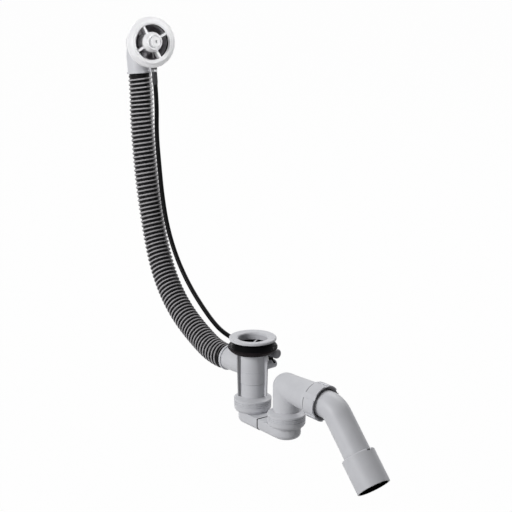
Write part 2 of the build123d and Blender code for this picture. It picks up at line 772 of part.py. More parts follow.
def drive_spindle():
    seat = hub_front - hub_recess + slide_clearance
    body = tube(spindle_r, 0, spindle_back, hub_front)
    body += extrude(Pos(0, 0, seat) * RectangleRounded(drive_size, drive_size, drive_round), drive_length)
    body -= Pos(0, 0, seat + drive_length) * Box(drive_socket, drive_socket, 2 * drive_socket_depth)
    groove = spindle_back + clip_t
    body -= tube(spindle_r + wall, spindle_r - edge_round, groove - clip_t / 4, groove + clip_t)
    return overflow_plane * body


def cable_drum():
    rim = drum_r + drum_rim
    groove = drum_r - wire_r - thread_clearance
    bore = spindle_r + thread_clearance / 2
    half = drum_t / 2
    body = turned(
        (bore, drum_z - half), (rim, drum_z - half, fine_round), (rim, drum_z - 2 * wire_r),
        (groove, drum_z - wire_bore_r), (groove, drum_z + wire_bore_r), (rim, drum_z + 2 * wire_r),
        (rim, drum_z + half, fine_round), (bore, drum_z + half))
    return overflow_plane * body


def spindle_clip():
    """Open snap ring behind the drum, in the spindle's groove."""
    low = spindle_back + clip_t - thread_clearance
    inner = spindle_r - edge_round + thread_clearance
    ring = tube(spindle_r + clip_rim, inner, low, low + clip_t - thread_clearance)
    gap = Pos(0, spindle_r, low) * Box(clip_opening, 2 * spindle_r, 4 * clip_t)
    return overflow_plane * (ring - gap)


def overflow_wire():
    tail = lug_foot - cable_nut_t - wire_tail
    return overflow_plane * rod(wire_r, (drum_r, 0, drum_z), (drum_r, tail, drum_z))


def under_lug(drop):
    """Plane across the cable below the lug, looking down the cable."""
    return overflow_plane * Plane((drum_r, lug_foot - drop, drum_z), x_dir=(1, 0, 0), z_dir=(0, -1, 0))


def cable_nut():
    body = extrude(RegularPolygon(ferrule_r + cable_nut_rim, 6), cable_nut_t)
    return under_lug(0) * (body - tube(wire_bore_r, 0, 0, cable_nut_t))


def cable_ferrule():
    body = turned(
        (wire_bore_r, 0), (ferrule_r, 0, fine_round), (ferrule_r, ferrule_length - ferrule_taper),
        (cable_r + fine_round / 2, ferrule_length), (wire_bore_r, ferrule_length))
    return under_lug(cable_nut_t) * body


# Hose and cable between the two ends
def hose_path():
    start = Vector(-inlet_reach, 0, inlet_z)
    end = Vector(*hose_top)
    return smooth_path([start, start - Vector(hose_first_run, 0, 0), *hose_route,
                        end - overflow_up * hose_last_run, end])


def hose_rings(path, count, radius_at):
    """Circles across the hose, evenly spaced from end to end."""
    places = [Plane(path @ (i / count), x_dir=(0, 1, 0), z_dir=path % (i / count)) for i in range(count + 1)]
    return [place * Circle(radius_at(i)) for i, place in enumerate(places)]


def overflow_hose():
    path = hose_path()
    waves = round(path.length / hose_pitch)
    print("hose length", round(path.length, 1), "waves", waves)
    outer = loft(hose_rings(path, 2 * waves, lambda i: hose_r if i % 2 else groove_r), ruled=True)
    body = outer - loft(hose_rings(path, waves // 3, lambda i: groove_r - hose_wall), ruled=True)
    for end, way in ((0, -1), (1, 1)):
        cuff = Plane(path @ end, x_dir=(0, 1, 0), z_dir=(path % end) * way)
        body += cuff * tube(groove_r, cuff_inner_r, -hose_wall, 0)
        body += cuff * tube(cuff_r, cuff_inner_r, -hose_wall, cuff_length)
    return body


def hose_seal(place):
    """Ring between a hose end and the pipe around it."""
    end = cuff_seal_start + cuff_seal_length
    return place * tube(cuff_bore_r, cuff_r + running_clearance, cuff_seal_start, end)


def hose_inlet_seal():
    return hose_seal(Plane((-inlet_reach, 0, inlet_z), x_dir=(0, 1, 0), z_dir=(1, 0, 0)))


def hose_overflow_seal():
    return hose_seal(Plane(Vector(*hose_top), x_dir=overflow_side, z_dir=overflow_up))


def bowden_cable():
    foot = under_lug(cable_nut_t + ferrule_length).position
    gland = Vector(holder_x - gland_sleeve_length, wire_y, wire_z)
    path = smooth_path([foot, foot - overflow_up * cable_first_run, *cable_route,
                        gland - Vector(cable_last_run, 0, 0), gland])
    cable = swept(cable_r, path)
    share = cable.volume / (pi * cable_r ** 2 * path.length)
    print("cable length", round(path.length, 1), "volume share", round(share, 4))
    return cable


pieces = {
    "drain_flange": drain_flange,
    "drain_seal": drain_seal,
    "drain_body": drain_body,
    "shaft_oring": shaft_oring,
    "lift_pin": lift_pin,
    "lift_lever": lift_lever,
    "crank": crank,
    "crank_cap": crank_cap,
    "pull_wire": pull_wire,
    "wire_end": wire_end,
    "cable_gland": cable_gland,
    "trap_inlet_nut": lambda: Rot(0, 0, trap_turn) * union_nut(),
    "trap_inlet_seal": lambda: Rot(0, 0, trap_turn) * union_seal(),
    "trap_inlet_half": trap_inlet_half,
    "trap_riser_half": trap_riser_half,
    "riser_nut": lambda: riser_place * union_nut(),
    "riser_seal": lambda: riser_place * union_seal(),
    "riser_elbow": riser_elbow,
    "outlet_nut": outlet_nut,
    "outlet_seal": outlet_seal,
    "outlet_bend": outlet_bend,
    "reducer_sleeve": reducer_sleeve,
    "reducer_seal": reducer_seal,
    "overflow_flange": overflow_flange,
    "drive_carrier": drive_carrier,
    "overflow_seal": overflow_seal,
    "overflow_elbow": overflow_elbow,
    "drive_spindle": drive_spindle,
    "cable_drum": cable_drum,
    "spindle_clip": spindle_clip,
    "overflow_wire": overflow_wire,
    "cable_nut": cable_nut,
    "cable_ferrule": cable_ferrule,
    "overflow_hose": overflow_hose,
    "hose_inlet_seal": hose_inlet_seal,
    "hose_overflow_seal": hose_overflow_seal,
    "bowden_cable": bowden_cable,
}

os.makedirs("parts", exist_ok=True)
for name, make in pieces.items():
    export_step(make(), f"parts/{name}.step")
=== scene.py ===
import json
from math import atan2, cos, pi, radians, sin

import bmesh
import bpy
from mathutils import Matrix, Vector


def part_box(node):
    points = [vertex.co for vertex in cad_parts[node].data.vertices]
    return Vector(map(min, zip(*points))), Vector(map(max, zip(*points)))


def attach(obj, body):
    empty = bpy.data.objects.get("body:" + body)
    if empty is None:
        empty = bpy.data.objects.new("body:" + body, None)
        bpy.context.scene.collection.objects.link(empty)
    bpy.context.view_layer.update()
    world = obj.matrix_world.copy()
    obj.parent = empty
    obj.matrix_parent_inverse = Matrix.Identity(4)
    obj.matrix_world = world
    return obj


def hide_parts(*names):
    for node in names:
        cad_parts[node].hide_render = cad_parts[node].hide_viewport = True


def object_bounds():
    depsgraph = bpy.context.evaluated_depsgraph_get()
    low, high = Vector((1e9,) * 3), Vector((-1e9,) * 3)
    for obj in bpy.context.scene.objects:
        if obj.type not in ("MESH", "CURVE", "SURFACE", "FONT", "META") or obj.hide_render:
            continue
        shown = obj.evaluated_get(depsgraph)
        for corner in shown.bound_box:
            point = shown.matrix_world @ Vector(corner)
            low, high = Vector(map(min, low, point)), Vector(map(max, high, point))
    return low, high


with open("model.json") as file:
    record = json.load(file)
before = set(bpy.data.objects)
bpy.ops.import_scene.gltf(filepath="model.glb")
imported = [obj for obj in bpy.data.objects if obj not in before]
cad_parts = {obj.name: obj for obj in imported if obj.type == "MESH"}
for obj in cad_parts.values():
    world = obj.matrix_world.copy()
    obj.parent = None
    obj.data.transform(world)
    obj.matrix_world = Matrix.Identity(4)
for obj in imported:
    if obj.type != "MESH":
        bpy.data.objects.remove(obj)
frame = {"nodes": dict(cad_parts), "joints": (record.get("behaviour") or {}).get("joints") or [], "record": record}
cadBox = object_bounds()
mm = 0.001
plainWhite = (1.0, 1.0, 1.0, 1.0)
nodes = frame["nodes"]
joints = {j["name"]: j for j in frame["joints"]}
mounts = {m["name"]: m for m in frame["record"]["mounts"]}

# Points and axes of the object, from the frame, whose origin is on the drain's axis
objectMiddle = (cadBox[0] + cadBox[1]) / 2
drainPoint = Vector((0.0, 0.0, 0.0))
drainAxis = Vector((0.0, 0.0, 1.0))
overflowCentre = Vector(joints["spindle_turn"]["pos_m"])
overflowAxis = -Vector(joints["spindle_turn"]["axis"])
overflowUp = -Vector(joints["upper_wire_slide"]["axis"])
wirePoint = sum(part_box("overflow_wire"), Vector()) / 2
sleevePoint = Vector(mounts["outlet_spigot"]["pos_m"])
sleeveAxis = Vector(mounts["outlet_spigot"]["axis"])
armPoint = Vector(joints["bend_swivel"]["pos_m"])
armAxis = -Vector(joints["bend_swivel"]["axis"])
armSide = armAxis.cross(drainAxis).normalized()
nutReach = max((v.co - armPoint).dot(armAxis) for v in nodes["outlet_nut"].data.vertices)
nutFront = armPoint + armAxis * nutReach


def levelDirection(turn):
    # the level direction so many degrees from X towards Y
    return Vector((cos(radians(turn)), sin(radians(turn)), 0.0))


def finishMesh(bm, name):
    mesh = bpy.data.meshes.new(name)
    bm.to_mesh(mesh)
    bm.free()
    mesh.polygons.foreach_set("use_smooth", [True] * len(mesh.polygons))
    piece = bpy.data.objects.new(name, mesh)
    bpy.context.scene.collection.objects.link(piece)
    return piece


class Value:
    # one shader value: arithmetic on it adds Math nodes
    def __init__(self, paint, socket):
        self.paint = paint
        self.socket = socket

    def __add__(self, other):
        return self.paint.math("ADD", self, other)

    def __radd__(self, other):
        return self.paint.math("ADD", other, self)

    def __sub__(self, other):
        return self.paint.math("SUBTRACT", self, other)

    def __rsub__(self, other):
        return self.paint.math("SUBTRACT", other, self)

    def __mul__(self, other):
        return self.paint.math("MULTIPLY", self, other)

    def __rmul__(self, other):
        return self.paint.math("MULTIPLY", other, self)

    def size(self):
        return self.paint.math("ABSOLUTE", self)

    def clipped(self):
        return self.paint.math("MINIMUM", self.paint.math("MAXIMUM", self, 0.0), 1.0)

    def ramp(self, low, high):
        # 0 below low and 1 above high, smooth between
        settings = {"interpolation_type": "SMOOTHSTEP"}
        return self.paint.node("ShaderNodeMapRange", settings, {0: self, 1: low, 2: high})


class Paint:
    # one material, with short ways to add its nodes
    def __init__(self, name, tree=None):
        if tree is None:
            self.material = bpy.data.materials.new(name)
            self.material.use_nodes = True
            tree = self.material.node_tree
        self.tree = tree
        self.surface = tree.nodes.get("Principled BSDF")

    def node(self, kind, settings=None, sockets=None, out=0):
        made = self.tree.nodes.new(kind)
        for name, value in (settings or {}).items():
            setattr(made, name, value)
        for name, value in (sockets or {}).items():
            self.feed(made.inputs[name], value)
        return Value(self, made.outputs[out])

    def feed(self, socket, value):
        if isinstance(value, Value):
            self.tree.links.new(value.socket, socket)
        else:
            socket.default_value = value

    def set(self, **values):
        for name, value in values.items():
            self.feed(self.surface.inputs[name.replace("_", " ")], value)
        return self.material

    def math(self, operation, *terms):
        return self.node("ShaderNodeMath", {"operation": operation}, dict(enumerate(terms)))

    def vector(self, operation, *terms, out="Vector"):
        return self.node("ShaderNodeVectorMath", {"operation": operation}, dict(enumerate(terms)), out)

    def place(self):
        return self.node("ShaderNodeTexCoord", out="Object")

    def attribute(self, name):
        return self.node("ShaderNodeAttribute", {"attribute_name": name}, None, "Fac")

    def noise(self, scale, detail=3.0, crisp=0.55):
        sockets = {"Vector": self.place(), "Scale": scale, "Detail": detail, "Roughness": crisp}
        return self.node("ShaderNodeTexNoise", None, sockets, "Fac")

    def mix(self, share, first, second):
        return self.node("ShaderNodeMix", {"data_type": "RGBA"}, {0: share, 6: first, 7: second}, 2)

    def along(self, start, axis):
        # distance from start along axis, in metres
        away = self.vector("SUBTRACT", self.place(), start)
        return self.vector("DOT_PRODUCT", away, axis, out="Value")

    def fromAxis(self, start, axis):
        # distance from the line through start along axis, in metres
        away = self.vector("SUBTRACT", self.place(), start)
        return self.vector("LENGTH", self.vector("CROSS_PRODUCT", away, axis), out="Value")

    def bump(self, height, strength, depth):
        sockets = {"Height": height, "Strength": strength, "Distance": depth}
        return self.node("ShaderNodeBump", None, sockets)

    def cover(self, share, colour):
        # a matt colour over what the surface has so far
        sockets = {"Base Color": colour, "Roughness": 1.0, "Specular IOR Level": 0.0}
        matt = self.node("ShaderNodeBsdfPrincipled", None, sockets)
        result = self.tree.nodes["Material Output"].inputs["Surface"]
        under = Value(self, result.links[0].from_socket)
        self.feed(result, self.node("ShaderNodeMixShader", None, {0: share, 1: under, 2: matt}))

    def seenDirectly(self):
        # 1 for rays from the camera, in reflections and through glass, 0 for light that falls on the object
        kinds = ("Is Camera Ray", "Is Glossy Ray", "Is Transmission Ray")
        camera, glossy, through = (self.node("ShaderNodeLightPath", out=kind) for kind in kinds)
        return (camera + glossy + through).clipped()


# Camera, floor and light
cameraSetup = {
    "place": (1.8136, -1.6847, 0.8078),
    "tilt": 74.607,
    "turn": 47.0,
    "lens": 124.3,
    "sensor": 36.0,
    "farClip": 50.0,
}
floorSetup = {
    "white": 0.985,
    "colour": (0.42, 0.42, 0.42, 1.0),
    "size": 14.0,
    "gap": 4.0,
}
skySetup = {"fill": 0.1}
# a lamp stands off what it is aimed at, to the given side; spread is the width of its beam in degrees
lampSetup = {
    "keyLamp": {
        "aim": objectMiddle, "side": (-0.11, -0.93, 0.34), "away": 2.6,
        "size": 1.2, "power": 52.0, "spread": 180.0,
    },
    "sideLamp": {
        "aim": objectMiddle, "side": (-0.93, 0.16, 0.34), "away": 2.6,
        "size": 1.2, "power": 7.0, "spread": 180.0,
    },
    "backLamp": {
        "aim": objectMiddle, "side": (-0.12, 0.66, 0.74), "away": 2.6,
        "size": 2.2, "power": 46.0, "spread": 180.0,
    },
    "headLamp": {
        "aim": overflowCentre, "side": (0.9, 0.2, 0.26), "away": 1.3,
        "size": 0.3, "power": 0.1, "spread": 16.0,
    },
}


def makeCamera():
    data = bpy.data.cameras.new("camera")
    data.lens = cameraSetup["lens"]
    data.sensor_width = cameraSetup["sensor"]
    data.clip_end = cameraSetup["farClip"]
    camera = bpy.data.objects.new("camera", data)
    camera.location = cameraSetup["place"]
    camera.rotation_euler = (radians(cameraSetup["tilt"]), 0.0, radians(cameraSetup["turn"]))
    bpy.context.scene.collection.objects.link(camera)
    bpy.context.scene.camera = camera


def makeLamp(name, setup):
    data = bpy.data.lights.new(name, "AREA")
    data.shape = "DISK"
    data.size = setup["size"]
    data.energy = setup["power"]
    data.spread = radians(setup["spread"])
    lamp = bpy.data.objects.new(name, data)
    side = Vector(setup["side"]).normalized()
    lamp.location = setup["aim"] + side * setup["away"]
    lamp.rotation_euler = (-side).to_track_quat("-Z", "Y").to_euler()
    lamp.visible_camera = False
    bpy.context.scene.collection.objects.link(lamp)


def dressWorld():
    world = bpy.data.worlds.new("studio")
    bpy.context.scene.world = world
    world.use_nodes = True
    paint = Paint("studio", world.node_tree)
    strength = paint.seenDirectly() * (1.0 - skySetup["fill"]) + skySetup["fill"]
    background = world.node_tree.nodes["Background"]
    paint.feed(background.inputs["Color"], plainWhite)
    paint.feed(background.inputs["Strength"], strength)


def makeFloor():
    bm = bmesh.new()
    bmesh.ops.create_grid(bm, x_segments=2, y_segments=2, size=floorSetup["size"] / 2)
    bmesh.ops.translate(bm, verts=bm.verts, vec=(0.0, 0.0, cadBox[0].z - floorSetup["gap"] * mm))
    floor = finishMesh(bm, "floor")
    paint = Paint("floorPaint")
    matt = paint.node("ShaderNodeBsdfDiffuse", None, {"Color": floorSetup["colour"]})
    white = paint.node("ShaderNodeEmission", None, {"Color": plainWhite, "Strength": 1.0})
    share = paint.seenDirectly() * floorSetup["white"]
    both = paint.node("ShaderNodeMixShader", None, {0: share, 1: matt, 2: white})
    paint.feed(paint.tree.nodes["Material Output"].inputs["Surface"], both)
    floor.data.materials.append(paint.material)


bpy.context.scene.view_settings.view_transform = "Standard"
makeCamera()
dressWorld()
makeFloor()
for lampName, setup in lampSetup.items():
    makeLamp(lampName, setup)
print("stage: camera, floor and light are set")


# Painted shade: masks of mouths, seams and undersides, where a dark matt colour is painted in place of shade.
# Radii are from an axis and levels along it, in mm
softEdge = {"radius": 0.2, "level": 0.4}


def within(paint, point, axis, radius):
    return 1.0 - paint.fromAxis(point, axis).ramp(radius * mm, (radius + softEdge["radius"]) * mm)


def above(paint, point, axis, level):
    edge = softEdge["level"]
    return paint.along(point, axis).ramp((level - edge) * mm, (level + edge) * mm)


def below(paint, point, axis, level):
    return 1.0 - above(paint, point, axis, level)


overflowShade = {
    "ringRadius": 27.1, "ringLevel": 7.0, "deepLevel": 1.5,
    "elbowRadius": 29.2, "elbowFront": -8.8, "elbowRear": -30.0,
    "lugRadius": 9.0, "lugLevel": -33.0,
}


# painted shade inside the ring's neck, behind the given level
def ringInside(paint, level=overflowShade["ringLevel"]):
    inside = within(paint, overflowCentre, overflowAxis, overflowShade["ringRadius"])
    return inside * below(paint, overflowCentre, overflowAxis, level)


def ringDeep(paint):
    return ringInside(paint, overflowShade["deepLevel"])


# painted shade on the elbow's inside, seen through the ring's windows
def elbowInside(paint):
    front = below(paint, overflowCentre, overflowAxis, overflowShade["elbowFront"])
    rear = above(paint, overflowCentre, overflowAxis, overflowShade["elbowRear"])
    return front * rear * within(paint, overflowCentre, overflowAxis, overflowShade["elbowRadius"])


# painted shade on the elbow around the wire, below the ring
def lugUnderside(paint):
    low = below(paint, overflowCentre, overflowUp, overflowShade["lugLevel"])
    return low * within(paint, wirePoint, overflowUp, overflowShade["lugRadius"])


drainShade = {
    "mouthRadius": 22.3, "mouthLevel": -0.8, "mouthShare": 0.3,
    "throatLevel": -7.8, "tubeRadius": 17.7,
    "ribTurn": 255.0, "ribHalf": 2.6, "ribInner": 20.6, "ribOuter": 29.0, "ribTop": -19.5,
    "ribEdge": 0.4, "ribShare": 0.62,
}


# painted shade on the inner wall of the drain mouth, at a share
def mouthInside(paint):
    inside = within(paint, drainPoint, drainAxis, drainShade["mouthRadius"])
    return inside * below(paint, drainPoint, drainAxis, drainShade["mouthLevel"]) * drainShade["mouthShare"]


# painted shade: black below the throat level
def throatInside(paint):
    return below(paint, drainPoint, drainAxis, drainShade["throatLevel"])


# painted shade: black inside the drain tube
def tubeInside(paint):
    return within(paint, drainPoint, drainAxis, drainShade["tubeRadius"])


# painted shade on the face of one rib
def leftRibShade(paint):
    s = drainShade
    side = levelDirection(s["ribTurn"])
    out = paint.along(drainPoint, side)
    aside = paint.along(drainPoint, side.cross(drainAxis)).size()
    near = 1.0 - aside.ramp(s["ribHalf"] * mm, (s["ribHalf"] + s["ribEdge"]) * mm)
    start = out.ramp(s["ribInner"] * mm, (s["ribInner"] + s["ribEdge"]) * mm)
    end = 1.0 - out.ramp(s["ribOuter"] * mm, (s["ribOuter"] + s["ribEdge"]) * mm)
    return near * start * end * below(paint, drainPoint, drainAxis, s["ribTop"]) * s["ribShare"]


outletShade = {
    "seamTurn": -6.5, "seamStart": 38.5, "seamEnd": 40.3,
    "sleeveRadius": 22.7, "bendRadius": 17.9, "bendLevel": -60.0,
    "funnelRadius": 24.7, "funnelLevel": -8.0,
    "grips": 6, "gripShare": 0.33, "gripEdge": 0.03, "lineLevel": -20.4, "lineWidth": 1.0,
}


# a painted shadow line at the seam between the trap halves
def trapSeamShadow(paint):
    axis = levelDirection(outletShade["seamTurn"])
    start = above(paint, drainPoint, axis, outletShade["seamStart"])
    return start * below(paint, drainPoint, axis, outletShade["seamEnd"])


# painted shade: black inside the sleeve
def sleeveInside(paint):
    return within(paint, sleevePoint, sleeveAxis, outletShade["sleeveRadius"])


# painted shade: black inside the bend
def bendInside(paint):
    end = above(paint, sleevePoint, sleeveAxis, outletShade["bendLevel"])
    return end * within(paint, sleevePoint, sleeveAxis, outletShade["bendRadius"])


# painted shade on the nut's front funnel
def nutFunnel(paint):
    front = above(paint, nutFront, armAxis, outletShade["funnelLevel"])
    return front * within(paint, nutFront, armAxis, outletShade["funnelRadius"])


def nutGripShadows(paint):
    # a painted shadow line behind each grip: turn counts the grips, with a whole number and a half at each middle
    s = outletShade
    across = paint.along(nutFront, armSide)
    upward = paint.along(nutFront, armSide.cross(armAxis))
    turn = paint.math("ARCTAN2", upward, across) * (s["grips"] / (2 * pi)) + (s["grips"] + 0.5)
    fromMiddle = (paint.math("FRACT", turn) - 0.5).size()
    grip = 1.0 - fromMiddle.ramp(s["gripShare"], s["gripShare"] + s["gripEdge"])
    start = above(paint, nutFront, armAxis, s["lineLevel"] - s["lineWidth"])
    return grip * start * below(paint, nutFront, armAxis, s["lineLevel"])


# the matt colours of painted shade that these masks lay over a finish
shadeFinish = {
    "black": (0.004, 0.004, 0.0045, 1.0),
    "grey": (0.26, 0.255, 0.27, 1.0),
    "window": (0.45, 0.44, 0.46, 1.0),
    "dim": (0.1, 0.1, 0.104, 1.0),
    "lip": (0.34, 0.34, 0.35, 1.0),
    "line": (0.06, 0.06, 0.064, 1.0),
}


# Finishes: shine, rough and uneven make the gloss, relief and depth (in mm) the fine bump,
# and cloud, grain, dust and speck are scales of noise
mouldedSkin = {
    "cloud": 40.0, "cloudLow": 0.35, "cloudHigh": 0.7, "cloudGloss": 0.1,
    "grain": 2600.0, "grainDetail": 2.0, "uneven": 0.08, "relief": 0.08, "depth": 0.2,
}
greyFinish = {
    "colour": (0.62, 0.625, 0.655, 1.0), "deep": (0.59, 0.595, 0.625, 1.0), "rough": 0.42, "shine": 0.3,
}
whiteFinish = {
    "colour": (0.90, 0.90, 0.915, 1.0), "deep": (0.87, 0.87, 0.885, 1.0), "rough": 0.3, "shine": 0.4,
}
darkFinish = {
    "colour": (0.115, 0.113, 0.122, 1.0), "deep": (0.095, 0.094, 0.101, 1.0), "rough": 0.42, "shine": 0.25,
}
ferruleFinish = {
    "colour": (0.045, 0.044, 0.048, 1.0), "deep": (0.035, 0.034, 0.038, 1.0), "rough": 0.45, "shine": 0.12,
}
knobFinish = {
    "colour": (0.34, 0.335, 0.36, 1.0), "deep": (0.31, 0.305, 0.33, 1.0), "rough": 0.42, "shine": 0.25,
}


def skin(paint, finish, colour, grain, rough):
    relief = paint.bump(grain, finish["relief"], finish["depth"] * mm)
    paint.set(Specular_IOR_Level=finish["shine"])
    return paint.set(Base_Color=colour, Roughness=rough + (grain - 0.5) * finish["uneven"], Normal=relief)


def mouldedPaint(name, finish, shades=()):
    s = {**mouldedSkin, **finish}
    paint = Paint(name)
    cloud = paint.noise(s["cloud"])
    grain = paint.noise(s["grain"], s["grainDetail"])
    colour = paint.mix(cloud.ramp(s["cloudLow"], s["cloudHigh"]), s["colour"], s["deep"])
    skin(paint, s, colour, grain, s["rough"] + (cloud - 0.5) * s["cloudGloss"])
    for mask, shade in shades:
        paint.cover(mask(paint), shadeFinish[shade])
    return paint.material


rubberFinish = {
    "colour": (0.003, 0.003, 0.0035, 1.0), "dusty": (0.02, 0.017, 0.018, 1.0),
    "dust": 420.0, "dustDetail": 4.0, "dustLow": 0.56, "dustHigh": 0.72, "dustShare": 0.5,
    "grain": 700.0, "grainDetail": 4.0, "crisp": 0.7,
    "rough": 0.5, "uneven": 0.5, "shine": 0.03, "relief": 0.5, "depth": 0.6,
}
cableFinish = {
    "colour": (0.003, 0.003, 0.0035, 1.0), "dusty": (0.006, 0.006, 0.007, 1.0),
    "dust": 120.0, "dustDetail": 4.0, "dustLow": 0.5, "dustHigh": 0.8, "dustShare": 0.6,
    "grain": 1200.0, "grainDetail": 3.0, "crisp": 0.55,
    "rough": 0.32, "uneven": 0.2, "shine": 0.06, "relief": 0.2, "depth": 0.2,
}


def dustyPaint(name, finish):
    s = finish
    paint = Paint(name)
    grain = paint.noise(s["grain"], s["grainDetail"], s["crisp"])
    dust = paint.noise(s["dust"], s["dustDetail"], s["crisp"]).ramp(s["dustLow"], s["dustHigh"])
    colour = paint.mix(dust * s["dustShare"], s["colour"], s["dusty"])
    return skin(paint, s, colour, grain, s["rough"])


# the bath seal: black cone, brownish lip, and a speckled painted highlight on the shoulders to both sides
sealFinish = {
    "cone": (0.0025, 0.0025, 0.003, 1.0),
    "lip": (0.026, 0.020, 0.022, 1.0), "lipDrop": 6.8, "lipSpecks": 0.6,
    "shoulderHighlight": (0.16, 0.16, 0.165, 1.0), "highlightTurn": 47.0, "highlightStart": 26.0, "highlightEnd": 32.0,
    "speck": 330.0, "speckDetail": 4.0, "speckCrisp": 0.75, "speckLow": 0.46, "speckHigh": 0.64,
    "grain": 700.0, "grainDetail": 4.0, "crisp": 0.7,
    "rough": 0.5, "uneven": 0.4, "shine": 0.03, "relief": 0.4, "depth": 0.6,
}


def sealPaint():
    s = sealFinish
    paint = Paint("sealRubber")
    grain = paint.noise(s["grain"], s["grainDetail"], s["crisp"])
    specks = paint.noise(s["speck"], s["speckDetail"], s["speckCrisp"]).ramp(s["speckLow"], s["speckHigh"])
    lip = below(paint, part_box("drain_seal")[1], drainAxis, -s["lipDrop"])
    # a speckled painted highlight on the two shoulders, across the given direction
    across = paint.along(drainPoint, levelDirection(s["highlightTurn"])).size()
    shoulder = across.ramp(s["highlightStart"] * mm, s["highlightEnd"] * mm)
    colour = paint.mix(lip * (1.0 - s["lipSpecks"] + s["lipSpecks"] * specks), s["cone"], s["lip"])
    colour = paint.mix(shoulder * (1.0 - lip) * specks, colour, s["shoulderHighlight"])
    return skin(paint, s, colour, grain, s["rough"])


# the hose: pale ridges over black grooves, the black being painted shade in the grooves and the pale a painted
# highlight on the ridges, and a strip of painted sheen along one side
hoseFinish = {
    "ridge": (0.43, 0.42, 0.435, 1.0), "groove": (0.003, 0.0028, 0.0035, 1.0),
    "ridgeLow": 0.48, "ridgeHigh": 0.88, "ridgeGrain": 0.1,
    "sideSheen": (0.45, 0.44, 0.455, 1.0), "sideSheenLow": 0.945, "sideSheenHigh": 0.985,
    "grain": 900.0, "rough": 0.4, "uneven": 0.15, "shine": 0.1, "relief": 0.15, "depth": 0.2,
}


def hosePaint():
    s = hoseFinish
    paint = Paint("hoseSkin")
    grain = paint.noise(s["grain"])
    wave = paint.attribute("wave") + (grain - 0.5) * s["ridgeGrain"]
    colour = paint.mix(wave.ramp(s["ridgeLow"], s["ridgeHigh"]), s["groove"], s["ridge"])
    # a painted sheen on the side of the hose that faces one fixed direction
    sideSheen = paint.attribute("sideSheen").ramp(s["sideSheenLow"], s["sideSheenHigh"])
    return skin(paint, s, paint.mix(sideSheen, colour, s["sideSheen"]), grain, s["rough"])


metalGrain = {"grain": 1800.0, "low": 0.3, "high": 0.7, "uneven": 0.2}
steelFinish = {"colour": (0.72, 0.72, 0.73, 1.0), "deep": (0.6, 0.6, 0.61, 1.0), "rough": 0.25}
zincFinish = {"colour": (0.2, 0.2, 0.205, 1.0), "deep": (0.12, 0.12, 0.125, 1.0), "rough": 0.35}


def metalPaint(name, finish):
    s = {**metalGrain, **finish}
    paint = Paint(name)
    grain = paint.noise(s["grain"])
    colour = paint.mix(grain.ramp(s["low"], s["high"]), s["colour"], s["deep"])
    return paint.set(Base_Color=colour, Roughness=s["rough"] + (grain - 0.5) * s["uneven"], Metallic=1.0)


# the record's material slots, then the nodes that have a finish of their own
slotFinishes = {
    "grey_plastic": mouldedPaint("greyPolymer", greyFinish),
    "white_plastic": mouldedPaint("whitePolymer", whiteFinish),
    "dark_plastic": mouldedPaint("darkPolymer", darkFinish),
    "rubber": dustyPaint("blackRubber", rubberFinish),
    "black_plastic": dustyPaint("cableSheath", cableFinish),
    "hose_plastic": hosePaint(),
    "steel": metalPaint("steelWire", steelFinish),
    "zinc": metalPaint("zincFitting", zincFinish),
}
ownFinishes = {
    "drain_seal": sealPaint(),
    "wire_end": mouldedPaint("knobPolymer", knobFinish),
    "cable_ferrule": mouldedPaint("ferrulePolymer", ferruleFinish),
    # the masks in this table lay painted shade, and painted shadow lines, over these finishes
    "trap_inlet_half": mouldedPaint("trapPolymer", greyFinish, [(trapSeamShadow, "line")]),
    "trap_riser_half": mouldedPaint("trapHalfPolymer", greyFinish, [(trapSeamShadow, "line")]),
    "outlet_nut": mouldedPaint("nutPolymer", greyFinish, [(nutFunnel, "lip"), (nutGripShadows, "line")]),
    "overflow_elbow": mouldedPaint(
        "elbowPolymer", greyFinish, [(elbowInside, "window"), (lugUnderside, "dim")]),
    "overflow_flange": mouldedPaint(
        "ringPolymer", whiteFinish, [(ringInside, "black"), (ringDeep, "window")]),
    "drain_flange": mouldedPaint(
        "drainPolymer", greyFinish, [(mouthInside, "grey"), (throatInside, "black")]),
    "drain_body": mouldedPaint("tubePolymer", greyFinish, [(leftRibShade, "dim"), (tubeInside, "black")]),
    "reducer_sleeve": mouldedPaint("sleevePolymer", greyFinish, [(sleeveInside, "black")]),
    "outlet_bend": mouldedPaint("bendPolymer", greyFinish, [(bendInside, "black")]),
}
for part in frame["record"]["subparts"]:
    piece = nodes[part["node"]]
    piece.data.materials.clear()
    piece.data.materials.append(ownFinishes.get(part["node"], slotFinishes[part["material_slot"]]))
print("stage: finishes are on", len(nodes), "nodes")


# Cords: the route's own points, as control points of one smooth spline
cordSetup = {"stepsAlong": 24, "stepsRound": 8}


def routeCurve(name, points, radius=0.0):
    data = bpy.data.curves.new(name, "CURVE")
    data.dimensions = "3D"
    spline = data.splines.new("NURBS")
    spline.points.add(len(points) - 1)
    for spot, place in zip(spline.points, points):
        spot.co = (*place, 1.0)
    spline.order_u = 3
    spline.use_endpoint_u = True
    spline.resolution_u = cordSetup["stepsAlong"]
    data.bevel_depth = radius
    data.bevel_resolution = cordSetup["stepsRound"]
    data.use_fill_caps = radius > 0.0
    curve = bpy.data.objects.new(name, data)
    bpy.context.scene.collection.objects.link(curve)
    return curve


def evaluatedMesh(piece):
    bpy.context.view_layer.update()
    return bpy.data.meshes.new_from_object(piece.evaluated_get(bpy.context.evaluated_depsgraph_get()))


def linePoints(curve):
    mesh = evaluatedMesh(curve)
    points = [v.co.copy() for v in mesh.vertices]
    bpy.data.meshes.remove(mesh)
    return points


def metres(points):
    return [Vector(p) * mm for p in points]


